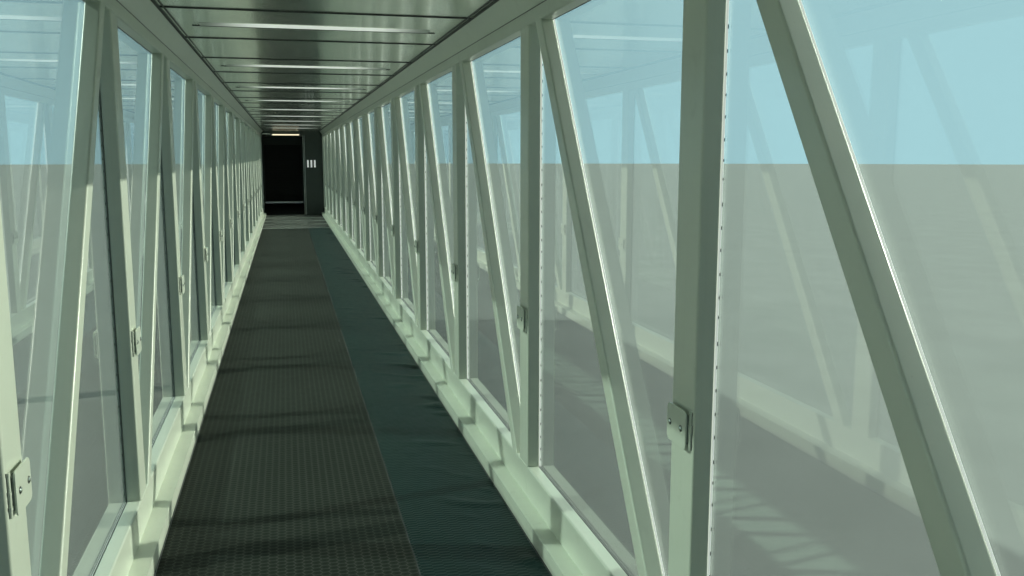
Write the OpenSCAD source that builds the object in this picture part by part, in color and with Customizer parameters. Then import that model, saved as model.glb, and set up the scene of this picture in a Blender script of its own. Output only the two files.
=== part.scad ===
// Glazed jet bridge tunnel: a straight truss-walled walkway on two steel trestles.
// +Y runs along the tunnel from the flanged near end to the lobby at the far end,
// +X is to the right when looking that way, +Z is up and the ground is at Z = 0.

/* [Tunnel] */
// Number of truss bays
bay_count = 16; // [6:1:18]
// Distance from post to post along the tunnel
bay_pitch = 1800; // [1600:10:1900]
// Clear width between the inner faces of the posts
clear_width = 1760; // [1600:10:2200]
// Height of the floor mat above the ground
floor_height = 3600; // [3200:50:4500]
// Length of the lobby behind the doorway
lobby_length = 2500; // [2000:50:3000]

/* [Truss] */
// Depth of every truss tube, measured across the wall
tube_depth = 60; // [40:5:90]
// Width of a post, measured along the tunnel
post_width = 150; // [100:5:180]
// Width of a diagonal, measured square to its length
diagonal_width = 75; // [50:5:100]
// Gap between a post and the foot of its diagonal
diagonal_foot_gap = 65; // [30:5:120]
// Gap between the head of a diagonal and the next post
diagonal_head_gap = 107; // [40:1:150]
// Height of either chord
chord_height = 220; // [200:5:225]
// Top of the lower chord above the mat
lower_chord_top = 232; // [190:1:300]
// Underside of the upper chord above the mat
upper_chord_bottom = 2320; // [2200:10:2600]

/* [Windows] */
// Gap between the truss and the glass
glass_gap = 7; // [5:1:20]
// Thickness of the glass
glass_thickness = 10; // [6:1:16]
// Depth of the frame outside the inner face of the glass
rebate_depth = 53; // [35:1:60]
// Width of the mullion behind every post
mullion_width = 36; // [30:2:90]
// Depth of a mullion outside the glass
mullion_cover = 10; // [8:1:20]
// Distance of the sill below the top of the lower chord
sill_drop = 130; // [100:5:150]
// Distance of the head above the underside of the upper chord
head_rise = 60; // [40:5:120]
// Overlap of the glass on the frame
glass_bite = 12; // [8:1:20]
// Play between the edge of a pane and its groove
pane_play = 2; // [1:0.5:4]

/* [Floor] */
// Thickness of the rubber mats
mat_thickness = 12; // [6:1:16]
// Thickness of the deck
deck_thickness = 20; // [15:1:30]
// Height of the floor cross beams
cross_beam_height = 150; // [120:5:180]
// Width of a floor cross beam
cross_beam_width = 75; // [60:5:100]
// Depth of the edge beams below the mat
edge_beam_depth = 190; // [186:1:260]
// Thickness of the soffit sheet
soffit_thickness = 4; // [2:1:8]
// Width of the kerb on top
kerb_width = 75; // [50:5:100]
// Height of the kerb above the mat
kerb_height = 80; // [60:5:120]
// Thickness of the kerb plate
kerb_plate = 4; // [3:1:8]
// Distance of the mat seam to the right of the centre line
seam_offset = 273; // [100:1:400]
// Length of the metal floor plate in front of the doorway
end_plate_length = 5100; // [1500:50:6000]

/* [Ceiling] */
// Space between the underside of the ceiling and the roof beams
ceiling_space = 60; // [50:5:80]
// Thickness of a ceiling panel
panel_thickness = 4; // [2:1:8]
// Distance from joint to joint
panel_pitch = 1200; // [900:10:1500]
// Width of the open joint between panels
joint_width = 8; // [4:1:14]
// Distance of the first joint from the near end
first_joint = 315; // [100:5:600]
// Height of the sloping trim below the ceiling
trim_height = 93; // [70:1:120]
// Distance that the trim reaches in from the posts
trim_reach = 66; // [40:1:100]
// Thickness of the trim sheet
trim_sheet = 3; // [2:0.5:5]
// Width of the lip that carries the panels
trim_lip = 36; // [20:1:50]
// Length of a light strip across the tunnel
light_length = 1350; // [900:10:1450]
// Width of a light strip
light_width = 250; // [150:10:350]
// Gap between a light housing and the roof beams
light_clearance = 6; // [4:1:20]
// Edge of a light housing around its cut-out
light_rim = 10; // [6:1:20]
// Wall of a light housing
light_wall = 3; // [2:0.5:5]

/* [Roof] */
// Height of a roof beam
roof_beam_height = 80; // [60:5:120]
// Width of a roof beam
roof_beam_width = 60; // [50:5:100]
// Thickness of the roof sheet
roof_thickness = 40; // [30:5:60]
// Overhang of the roof over the window frames
roof_overhang = 20; // [15:1:60]
// Height that the roof edge hangs below the roof sheet
roof_drop = 110; // [90:5:140]

/* [Handrail brackets] */
// Width of a bracket plate along the tunnel
bracket_width = 126; // [110:2:130]
// Height of a bracket plate
bracket_height = 112; // [90:2:160]
// Thickness of a bracket plate
bracket_plate = 5; // [3:1:8]
// Distance of the plate from the post
bracket_standoff = 13; // [8:1:30]
// Chamfer at two of the corners
bracket_chamfer = 14; // [5:1:30]
// Mean height of the plates above the mat
bracket_level = 945; // [800:5:1100]
// Height of the right plates above that level, and of the left ones below it
bracket_side_rise = 12; // [0:1:30]
// Distance of a plate from the near edge of its post
bracket_inset = 16; // [5:1:20]
// Distance of the packer from the edges of its plate
bracket_pad_inset = 10; // [5:1:30]

/* [Ends] */
// Thickness of the near end flange
flange_thickness = 20; // [12:1:30]
// Radius of the flange bolt holes
flange_hole_radius = 11; // [7:0.5:14]
// Width of the flange outside the window frames
flange_overhang = 100; // [90:5:150]
// Distance of the flange holes from its outer edge
flange_hole_edge = 40; // [35:1:45]
// Highest flange hole above the mat
flange_hole_top = 2200; // [1800:50:2300]
// Lowest flange hole above the mat
flange_hole_bottom = -100; // [-120:10:0]
// Spaces between the flange holes of one side
flange_hole_steps = 5; // [2:1:8]
// Distance of the doorway from the left posts
door_gap = 20; // [0:5:60]
// Width of the doorway
door_width = 1170; // [1000:10:1180]
// Head of the doorway above the mat
door_head = 2370; // [2200:10:2380]
// Thickness of the door head, post and side panel
door_frame = 60; // [40:5:100]
// Length of the lamp over the doorway
lamp_length = 810; // [500:10:1000]
// Height of the lamp
lamp_height = 42; // [30:1:80]
// Depth of the lamp
lamp_depth = 60; // [40:5:90]
// Width of a slit in the side panel
slit_width = 48; // [30:2:60]
// Height of a slit
slit_height = 215; // [150:5:300]
// Distance between slits
slit_pitch = 100; // [80:2:120]
// Middle of the slits above the mat
slit_level = 1522; // [1300:10:1700]
// Distance of the first slit from the doorway
slit_offset = 138; // [130:2:180]
// Thickness of the lobby walls
lobby_wall = 60; // [40:5:60]
// Rise of the ramp in the lobby
ramp_rise = 250; // [100:10:300]
// Level length at the head of the ramp
landing_length = 300; // [200:10:500]
// Thickness of the shutter curtain
curtain_thickness = 20; // [12:1:30]
// Distance of the curtain from the lobby side of its opening
curtain_inset = 10; // [0:1:20]
// Height of the shutter box
shutter_box_height = 260; // [200:10:320]
// Depth of the shutter box and guides
shutter_depth = 90; // [70:5:120]
// Width of a shutter guide
guide_width = 70; // [50:5:90]

/* [Trestles] */
// Bays between each end and its trestle
trestle_bay = 3; // [1:1:4]
// Side of a leg
leg_size = 250; // [200:10:300]
// Wall of a leg
leg_wall = 12; // [8:1:16]
// Distance between the middles of the legs of one trestle
leg_spacing = 1700; // [1500:20:2000]
// Height of a head beam
head_beam_height = 240; // [200:10:300]
// Length that a head beam reaches past the middle of a leg
head_beam_reach = 300; // [200:10:400]
// Side of a base plate
base_side = 500; // [450:10:600]
// Thickness of base plates and cap plates
base_thickness = 25; // [16:1:40]
// Radius of an anchor bolt hole
anchor_radius = 15; // [10:1:18]
// Distance between anchor bolt holes
anchor_spacing = 380; // [360:10:400]
// Thickness of a gusset
gusset = 12; // [8:1:20]
// Height of a gusset
gusset_height = 150; // [100:10:250]
// Height of the tie beam above the ground
tie_level = 1500; // [800:50:2000]
// Side of a tie beam
tie_side = 140; // [100:10:180]

/* [Hidden] */

// Places across the tunnel, from the centre line outwards
post_x = clear_width / 2;
frame_x = post_x + tube_depth;
glass_x = frame_x + glass_gap;
outer_x = glass_x + rebate_depth;
kerb_x = post_x - kerb_width;

// Left and right side of the doorway
door_left = door_gap - post_x;
door_right = door_left + door_width;

// Places along the tunnel
tunnel_length = bay_count * bay_pitch + post_width;
total_length = flange_thickness + tunnel_length + lobby_length;
front_y = -total_length / 2;
tunnel_y = front_y + flange_thickness;
lobby_y = tunnel_y + tunnel_length;
back_y = total_length / 2;
end_wall_y = back_y - lobby_wall;
mat_length = tunnel_length - end_plate_length;

// Heights above the mat
lower_chord_bottom = lower_chord_top - chord_height;
upper_chord_top = upper_chord_bottom + chord_height;
deck_top = -mat_thickness;
beam_top = deck_top - deck_thickness;
beam_bottom = beam_top - cross_beam_height;
ceiling_level = upper_chord_top - ceiling_space;
trim_bottom = ceiling_level - trim_height;
light_height = ceiling_space - panel_thickness - light_clearance;
roof_beam_top = upper_chord_top + roof_beam_height;
roof_top = roof_beam_top + roof_thickness;
wall_bottom = lower_chord_bottom;
roof_x = outer_x + roof_overhang;
flange_x = outer_x + flange_overhang;

// Slope of the diagonals: one edge starts at the foot gap, the other ends at the head gap
diagonal_run = bay_pitch - post_width - diagonal_foot_gap - diagonal_head_gap;
diagonal_rise = upper_chord_bottom - lower_chord_top;
diagonal_lean = acos(diagonal_width / norm([diagonal_run, diagonal_rise]))
    - atan2(diagonal_rise, diagonal_run);
diagonal_cut = diagonal_width / cos(diagonal_lean);

// Ceiling panels between the two ends
panel_count = ceil((tunnel_length - first_joint) / panel_pitch) + 1;

// Cream paint, glass, rubber, metal and dark paint
cream = [0.80, 0.81, 0.73];
pale_green = [0.70, 0.85, 0.80, 0.45];
bright_metal = [0.66, 0.68, 0.64];
black_rubber = [0.13, 0.15, 0.15];
blue_black_rubber = [0.10, 0.13, 0.16];
dark_paint = [0.16, 0.18, 0.17];
steel_grey = [0.50, 0.52, 0.52];
warm_light = [1.00, 0.93, 0.75];

function post_y(i) = tunnel_y + post_width / 2 + i * bay_pitch;
function panel_start(k) = k == 0 ? 0 : first_joint + (k - 1) * panel_pitch + joint_width / 2;
function panel_end(k) = min(tunnel_length, first_joint + k * panel_pitch - joint_width / 2);

// Lifts what is drawn from the mat level to its height above the ground
module on_floor() { translate([0, 0, floor_height]) children(); }

// Draws on the right wall, or mirrored on the left wall
module on_wall(side) { mirror([side == "left" ? 1 : 0, 0, 0]) children(); }

// A bar along the tunnel with a profile drawn in X and Z
module along(length) { rotate([90, 0, 0]) mirror([0, 0, 1]) linear_extrude(length) children(); }

// A plate in the plane of the wall, drawn in Y and Z, starting at a distance from the centre
module in_wall(x, depth) {
    translate([x, 0, 0]) rotate([90, 0, 90]) linear_extrude(depth) children();
}

module lower_chord() {
    translate([post_x, tunnel_y, lower_chord_bottom])
        cube([tube_depth, tunnel_length, chord_height]);
}

module upper_chord() {
    translate([post_x, tunnel_y, upper_chord_bottom])
        cube([tube_depth, tunnel_length, chord_height]);
}

module posts() {
    for (i = [0 : bay_count])
        translate([post_x, post_y(i) - post_width / 2, lower_chord_top])
            cube([tube_depth, post_width, diagonal_rise]);
}

// Each diagonal rises from the foot of the near post to the head of the far post
module diagonals() {
    foot = post_width / 2 + diagonal_foot_gap;
    lean = diagonal_rise * tan(diagonal_lean);
    for (i = [0 : bay_count - 1])
        in_wall(post_x, tube_depth)
            translate([post_y(i) + foot, lower_chord_top])
                polygon([[0, 0], [diagonal_cut, 0], [diagonal_cut + lean, diagonal_rise],
                    [lean, diagonal_rise]]);
}

// The opening of the frame in each bay, made larger all round by a margin
module window_openings(margin) {
    for (i = [0 : bay_count - 1])
        translate([post_y(i) + mullion_width / 2 - margin, lower_chord_top - sill_drop - margin])
            square([bay_pitch - mullion_width + 2 * margin,
                diagonal_rise + sill_drop + head_rise + 2 * margin]);
}

// The sill and the head stand out further than the mullions, which leaves one long opening
module long_opening() {
    translate([post_y(0) + mullion_width / 2, lower_chord_top - sill_drop])
        square([bay_count * bay_pitch - mullion_width, diagonal_rise + sill_drop + head_rise]);
}

module frame_outline() {
    translate([tunnel_y, wall_bottom])
        square([tunnel_length, upper_chord_top - wall_bottom]);
}

// The frame lies on the outer faces of the truss, hidden behind posts and chords, and a groove
// around each of its openings holds a pane, so the glass runs on behind the tubes
module window_frames() {
    cap_x = glass_x + glass_thickness;
    in_wall(frame_x, glass_gap) difference() {
        frame_outline();
        window_openings(0);
    }
    in_wall(glass_x, glass_thickness) difference() {
        frame_outline();
        window_openings(glass_bite);
    }
    in_wall(cap_x, mullion_cover) difference() {
        frame_outline();
        window_openings(0);
    }
    in_wall(cap_x + mullion_cover, outer_x - cap_x - mullion_cover) difference() {
        frame_outline();
        long_opening();
    }
}

module glass_panes() {
    in_wall(glass_x, glass_thickness) window_openings(glass_bite - pane_play);
}

// Folded plate: a front leg down to the deck and a top leg back to the chord
module kerb() {
    translate([0, tunnel_y, 0]) along(tunnel_length)
        polygon([[kerb_x, deck_top], [kerb_x + kerb_plate, deck_top],
            [kerb_x + kerb_plate, kerb_height - kerb_plate],
            [post_x, kerb_height - kerb_plate], [post_x, kerb_height], [kerb_x, kerb_height]]);
}

// Sloping sheet from the upper chord to the ceiling, with a lip folded back under the panels
module ceiling_trim() {
    inner = post_x - trim_reach;
    under = ceiling_level - trim_sheet;
    slope = norm([trim_reach, trim_height - trim_sheet]);
    across = trim_sheet * slope / (trim_height - trim_sheet);
    upright = trim_sheet * slope / trim_reach;
    translate([0, tunnel_y, 0]) along(tunnel_length)
        polygon([[post_x, trim_bottom], [inner, under], [inner, ceiling_level],
            [inner + trim_lip, ceiling_level], [inner + trim_lip, under],
            [inner + across, under], [post_x, trim_bottom + upright]]);
}

// Chamfered plate on a packer that is welded to the inner face of the post
module bracket() {
    pad = [bracket_standoff, bracket_width - 2 * bracket_pad_inset,
        bracket_height - 2 * bracket_pad_inset];
    translate([-pad.x, bracket_pad_inset, -pad.z / 2]) cube(pad);
    in_wall(-bracket_standoff - bracket_plate, bracket_plate)
        polygon([[0, -bracket_height / 2], [bracket_width - bracket_chamfer, -bracket_height / 2],
            [bracket_width, bracket_chamfer - bracket_height / 2],
            [bracket_width, bracket_height / 2 - bracket_chamfer],
            [bracket_width - bracket_chamfer, bracket_height / 2], [0, bracket_height / 2]]);
}

module edge_beam() {
    translate([post_x, tunnel_y, -edge_beam_depth])
        cube([outer_x - post_x, total_length - flange_thickness, edge_beam_depth + wall_bottom]);
}

module lobby_side_wall() {
    translate([outer_x - lobby_wall, lobby_y, wall_bottom])
        cube([lobby_wall, lobby_length, upper_chord_top - wall_bottom]);
}

module left_lower_chord() { color(cream) on_floor() on_wall("left") lower_chord(); }
module right_lower_chord() { color(cream) on_floor() on_wall("right") lower_chord(); }
module left_upper_chord() { color(cream) on_floor() on_wall("left") upper_chord(); }
module right_upper_chord() { color(cream) on_floor() on_wall("right") upper_chord(); }
module left_posts() { color(cream) on_floor() on_wall("left") posts(); }
module right_posts() { color(cream) on_floor() on_wall("right") posts(); }
module left_diagonals() { color(cream) on_floor() on_wall("left") diagonals(); }
module right_diagonals() { color(cream) on_floor() on_wall("right") diagonals(); }
module left_window_frames() { color(cream) on_floor() on_wall("left") window_frames(); }
module right_window_frames() { color(cream) on_floor() on_wall("right") window_frames(); }
module left_glass_panes() { color(pale_green) on_floor() on_wall("left") glass_panes(); }
module right_glass_panes() { color(pale_green) on_floor() on_wall("right") glass_panes(); }
module left_kerb() { color(cream) on_floor() on_wall("left") kerb(); }
module right_kerb() { color(cream) on_floor() on_wall("right") kerb(); }
module left_edge_beam() { color(cream) on_floor() on_wall("left") edge_beam(); }
module right_edge_beam() { color(cream) on_floor() on_wall("right") edge_beam(); }
module left_lobby_wall() { color(cream) on_floor() on_wall("left") lobby_side_wall(); }
module right_lobby_wall() { color(cream) on_floor() on_wall("right") lobby_side_wall(); }

module ceiling_trims() {
    color(cream) on_floor() for (side = ["left", "right"]) on_wall(side) ceiling_trim();
}

// One plate on every post of both walls, but for the posts at the doorway
module handrail_brackets() {
    color(cream) on_floor()
        for (side = ["left", "right"], i = [0 : bay_count - 1])
            on_wall(side)
                translate([post_x, post_y(i) - post_width / 2 + bracket_inset,
                    bracket_level + (side == "right" ? 1 : -1) * bracket_side_rise])
                    bracket();
}

// Middles of beams at an even step from the first post, and of one flush with the back
function beam_places(step, width) = concat(
    [for (y = [post_y(0) : step : back_y - 2 * width]) y], [back_y - width / 2]);

// A cross beam under every post, one halfway between, and one at the back
module floor_cross_beams() {
    color(steel_grey) on_floor()
        for (y = beam_places(bay_pitch / 2, cross_beam_width))
            translate([-post_x, y - cross_beam_width / 2, beam_bottom])
                cube([clear_width, cross_beam_width, cross_beam_height]);
}

module floor_deck() {
    color(steel_grey) on_floor() translate([-post_x, tunnel_y, beam_top])
        cube([clear_width, total_length - flange_thickness, deck_thickness]);
}

module wide_floor_mat() {
    color(black_rubber) on_floor() translate([-kerb_x, tunnel_y, deck_top])
        cube([kerb_x + seam_offset, mat_length, mat_thickness]);
}

module narrow_floor_mat() {
    color(blue_black_rubber) on_floor() translate([seam_offset, tunnel_y, deck_top])
        cube([kerb_x - seam_offset, mat_length, mat_thickness]);
}

module end_floor_plate() {
    color(steel_grey) on_floor() translate([-kerb_x, tunnel_y + mat_length, deck_top])
        cube([2 * kerb_x, end_plate_length, mat_thickness]);
}

module soffit_sheet() {
    color(cream) on_floor() translate([-post_x, tunnel_y, beam_bottom - soffit_thickness])
        cube([clear_width, total_length - flange_thickness, soffit_thickness]);
}

// Panels lie on the trim lips, and every second one is cut out for a light
module ceiling_panels() {
    reach = post_x - trim_reach + trim_lip;
    color(bright_metal) on_floor()
        for (k = [0 : panel_count - 1])
            if (panel_end(k) > panel_start(k))
                translate([0, tunnel_y, ceiling_level]) difference() {
                    translate([-reach, panel_start(k), 0])
                        cube([2 * reach, panel_end(k) - panel_start(k), panel_thickness]);
                    if (lit(k))
                        translate([-light_length / 2, light_start(k), -1])
                            cube([light_length, light_width, panel_thickness + 2]);
                }
}

function lit(k) = k % 2 == 0 && k > 0 && panel_end(k) - panel_start(k) > panel_pitch - joint_width - 1;
function light_start(k) = (panel_start(k) + panel_end(k) - light_width) / 2;

// Housings stand on the panels around the cut-outs, open at the bottom
module ceiling_lights() {
    color(bright_metal) on_floor()
        for (k = [0 : panel_count - 1])
            if (lit(k))
                translate([0, tunnel_y + light_start(k), ceiling_level + panel_thickness]) difference() {
                    translate([-light_length / 2 - light_rim, -light_rim, 0])
                        cube([light_length + 2 * light_rim, light_width + 2 * light_rim, light_height]);
                    translate([-light_length / 2, 0, -1])
                        cube([light_length, light_width, light_height - light_wall + 1]);
                }
}

module roof_beams() {
    color(steel_grey) on_floor()
        for (y = beam_places(bay_pitch, roof_beam_width))
            translate([-outer_x, y - roof_beam_width / 2, upper_chord_top])
                cube([2 * outer_x, roof_beam_width, roof_beam_height]);
}

// Flat roof with an edge that hangs down outside the window frames
module roof_sheet() {
    length = total_length - flange_thickness;
    drop = roof_drop;
    color(cream) on_floor() translate([0, tunnel_y, roof_top - roof_thickness - drop]) difference() {
        translate([-roof_x, 0, 0]) cube([2 * roof_x, length, roof_thickness + drop]);
        translate([-outer_x, -1, -1]) cube([2 * outer_x, length + 2, drop + 1]);
    }
}

// Steel plate around the whole section, with bolt holes up each side
module near_end_flange() {
    step = (flange_hole_top - flange_hole_bottom) / flange_hole_steps;
    color(cream) on_floor() difference() {
        translate([-flange_x, front_y, -edge_beam_depth])
            cube([2 * flange_x, flange_thickness, edge_beam_depth + roof_top]);
        translate([-kerb_x, front_y - 1, 0]) cube([2 * kerb_x, flange_thickness + 2, trim_bottom]);
        for (side = [-1, 1], i = [0 : flange_hole_steps])
            translate([side * (flange_x - flange_hole_edge), front_y - 1, flange_hole_bottom + i * step])
                rotate([-90, 0, 0]) cylinder(r = flange_hole_radius, h = flange_thickness + 2, $fn = 48);
    }
}

module door_head_panel() {
    color(dark_paint) on_floor() translate([-(outer_x - lobby_wall), lobby_y, door_head])
        cube([2 * (outer_x - lobby_wall), door_frame, upper_chord_top - door_head]);
}

module door_post() {
    color(dark_paint) on_floor() translate([door_right, lobby_y, 0])
        cube([door_frame, door_frame, door_head]);
}

module slotted_side_panel() {
    start = door_right + door_frame;
    color(dark_paint) on_floor() difference() {
        translate([start, lobby_y, 0]) cube([post_x - start, door_frame, door_head]);
        for (i = [0 : 2])
            translate([door_right + slit_offset + i * slit_pitch - slit_width / 2, lobby_y - 1,
                slit_level - slit_height / 2])
                cube([slit_width, door_frame + 2, slit_height]);
    }
}

module doorway_lamp() {
    middle = (door_left + door_right) / 2 + 110;
    color(warm_light) on_floor()
        translate([middle - lamp_length / 2, lobby_y - lamp_depth, door_head - lamp_height / 2])
            cube([lamp_length, lamp_depth, lamp_height]);
}

// Level threshold under the door frame, then the slope and a level landing
module lobby_ramp() {
    color(black_rubber) on_floor() in_wall(-post_x, clear_width)
        polygon([[lobby_y, deck_top], [end_wall_y, deck_top], [end_wall_y, ramp_rise],
            [end_wall_y - landing_length, ramp_rise], [lobby_y + door_frame, 0], [lobby_y, 0]]);
}

// The opening for the shutter is cut through the wall, which stands on the deck and edge beams
module lobby_end_wall() {
    color(cream) on_floor() difference() {
        union() {
            translate([-(outer_x - lobby_wall), end_wall_y, wall_bottom])
                cube([2 * (outer_x - lobby_wall), lobby_wall, upper_chord_top - wall_bottom]);
            translate([-post_x, end_wall_y, deck_top])
                cube([clear_width, lobby_wall, ramp_rise - deck_top]);
        }
        translate([door_left, end_wall_y - 1, ramp_rise])
            cube([door_right - door_left, lobby_wall + 2, door_head - ramp_rise]);
    }
}

module shutter_curtain() {
    color(dark_paint) on_floor() translate([door_left, end_wall_y + curtain_inset, ramp_rise])
        cube([door_right - door_left, curtain_thickness, door_head - ramp_rise]);
}

// Two guides with a box across their heads, on the lobby side of the end wall
module shutter_frame() {
    left = door_left - guide_width;
    width = door_right + guide_width - left;
    color(steel_grey) on_floor() translate([0, end_wall_y - shutter_depth, 0]) {
        translate([left, 0, door_head - shutter_box_height])
            cube([width, shutter_depth, shutter_box_height]);
        for (x = [left, door_right])
            translate([x, 0, ramp_rise])
                cube([guide_width, shutter_depth, door_head - ramp_rise - shutter_box_height]);
    }
}

// Square tube with base plate, cap plate and four gussets
module leg() {
    top = floor_height - edge_beam_depth - head_beam_height;
    half = leg_size / 2;
    difference() {
        union() {
            translate([-base_side / 2, -base_side / 2, 0]) cube([base_side, base_side, base_thickness]);
            translate([-half, -half, base_thickness]) cube([leg_size, leg_size, top - base_thickness]);
            for (turn = [0 : 90 : 270])
                rotate([0, 0, turn]) translate([0, gusset / 2, base_thickness]) rotate([90, 0, 0])
                    linear_extrude(gusset)
                        polygon([[half, 0], [base_side / 2 - gusset, 0], [half, gusset_height]]);
        }
        translate([leg_wall - half, leg_wall - half, base_thickness])
            cube([leg_size - 2 * leg_wall, leg_size - 2 * leg_wall, top - 2 * base_thickness]);
        for (x = [-1, 1], y = [-1, 1])
            translate([x * anchor_spacing / 2, y * anchor_spacing / 2, -1])
                cylinder(r = anchor_radius, h = base_thickness + 2, $fn = 48);
    }
}

function trestle_y(far) = post_y(far ? bay_count - trestle_bay : trestle_bay);

module near_left_leg() { color(steel_grey) translate([-leg_spacing / 2, trestle_y(false), 0]) leg(); }
module near_right_leg() { color(steel_grey) translate([leg_spacing / 2, trestle_y(false), 0]) leg(); }
module far_left_leg() { color(steel_grey) translate([-leg_spacing / 2, trestle_y(true), 0]) leg(); }
module far_right_leg() { color(steel_grey) translate([leg_spacing / 2, trestle_y(true), 0]) leg(); }

// Head beam under the tunnel and a tie beam between the legs
module trestle_pair() {
    reach = leg_spacing / 2 + head_beam_reach;
    between = leg_spacing - leg_size;
    translate([-reach, -leg_size / 2, floor_height - edge_beam_depth - head_beam_height])
        cube([2 * reach, leg_size, head_beam_height]);
    translate([-between / 2, -tie_side / 2, tie_level]) cube([between, tie_side, tie_side]);
}

module near_trestle_beams() { color(steel_grey) translate([0, trestle_y(false), 0]) trestle_pair(); }
module far_trestle_beams() { color(steel_grey) translate([0, trestle_y(true), 0]) trestle_pair(); }

left_lower_chord();
right_lower_chord();
left_upper_chord();
right_upper_chord();
left_posts();
right_posts();
left_diagonals();
right_diagonals();
left_window_frames();
right_window_frames();
left_glass_panes();
right_glass_panes();
left_kerb();
right_kerb();
ceiling_trims();
handrail_brackets();
left_edge_beam();
right_edge_beam();
floor_cross_beams();
floor_deck();
wide_floor_mat();
narrow_floor_mat();
end_floor_plate();
soffit_sheet();
ceiling_panels();
ceiling_lights();
roof_beams();
roof_sheet();
near_end_flange();
door_head_panel();
door_post();
slotted_side_panel();
doorway_lamp();
lobby_ramp();
left_lobby_wall();
right_lobby_wall();
lobby_end_wall();
shutter_curtain();
shutter_frame();
near_left_leg();
near_right_leg();
far_left_leg();
far_right_leg();
near_trestle_beams();
far_trestle_beams();
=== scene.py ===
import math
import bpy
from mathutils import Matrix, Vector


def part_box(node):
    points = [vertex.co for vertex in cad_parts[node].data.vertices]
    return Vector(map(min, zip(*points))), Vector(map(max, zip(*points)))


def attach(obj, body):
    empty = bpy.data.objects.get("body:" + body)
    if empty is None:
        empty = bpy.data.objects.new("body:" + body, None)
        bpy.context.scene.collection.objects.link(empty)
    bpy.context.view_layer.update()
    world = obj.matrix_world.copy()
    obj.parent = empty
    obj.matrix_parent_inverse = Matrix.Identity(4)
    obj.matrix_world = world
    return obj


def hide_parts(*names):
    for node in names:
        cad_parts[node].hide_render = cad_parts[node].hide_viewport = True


bl_info = {
    "name": "Glazed jet bridge tunnel",
    "version": (1, 0, 0),
    "blender": (4, 5, 0),
    "location": "3D View > Sidebar > Jet bridge",
    "description": "Finishes and small parts for a glazed jet bridge tunnel on two steel trestles",
    "category": "Object",
}

import bmesh
import bpy
from mathutils import Matrix, Vector, noise

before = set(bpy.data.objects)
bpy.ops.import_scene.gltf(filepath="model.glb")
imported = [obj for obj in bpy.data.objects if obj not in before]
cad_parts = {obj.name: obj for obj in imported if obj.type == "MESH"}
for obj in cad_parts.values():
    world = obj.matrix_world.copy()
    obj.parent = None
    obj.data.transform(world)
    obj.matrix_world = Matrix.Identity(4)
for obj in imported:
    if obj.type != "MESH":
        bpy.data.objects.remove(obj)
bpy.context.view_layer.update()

# Places on the right wall, in metres: the left wall mirrors them
POSTS_LOW, POSTS_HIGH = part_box("right_posts")
TUBE_IN, TUBE_OUT = POSTS_LOW.x, POSTS_HIGH.x
NEAR, DOORWAY = POSTS_LOW.y, POSTS_HIGH.y
CHORD_TOP, HEAD = POSTS_LOW.z, POSTS_HIGH.z
CHORD_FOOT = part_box("right_lower_chord")[0].z
CHORD_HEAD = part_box("right_upper_chord")[1].z
GLASS_IN, GLASS_OUT = (corner.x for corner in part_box("right_glass_panes"))
FRAME_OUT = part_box("right_window_frames")[1].x
SEAM, MAT_END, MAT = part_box("wide_floor_mat")[1]
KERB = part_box("right_kerb")[0].x
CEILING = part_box("ceiling_panels")[0].z
TRIM_WIDTH = 0.066
TRIM_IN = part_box("ceiling_trims")[1].x - TRIM_WIDTH
TRIM_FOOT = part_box("ceiling_trims")[0].z
BACK_WALL, BACK = (corner.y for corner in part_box("lobby_end_wall"))
DOOR_LEFT, DOOR_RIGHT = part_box("shutter_curtain")[0].x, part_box("door_post")[0].x
DOOR_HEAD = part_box("door_head_panel")[0].z
EDGE_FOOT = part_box("right_edge_beam")[0].z
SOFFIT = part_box("soffit_sheet")[0].z
ROOF_LOW, ROOF_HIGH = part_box("roof_sheet")
BAYS = 16
POST = 0.150
MULLION = 0.036
SILL_DROP, HEAD_RISE = 0.130, 0.060
PITCH = (DOORWAY - NEAR - POST) / BAYS
PANEL = 1.2
FIRST_JOINT = 0.315
LAMP_COUNT, LAMP_PITCH = 11, 2 * PANEL


def post_y(index):
    return NEAR + POST / 2 + PITCH * index


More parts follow.
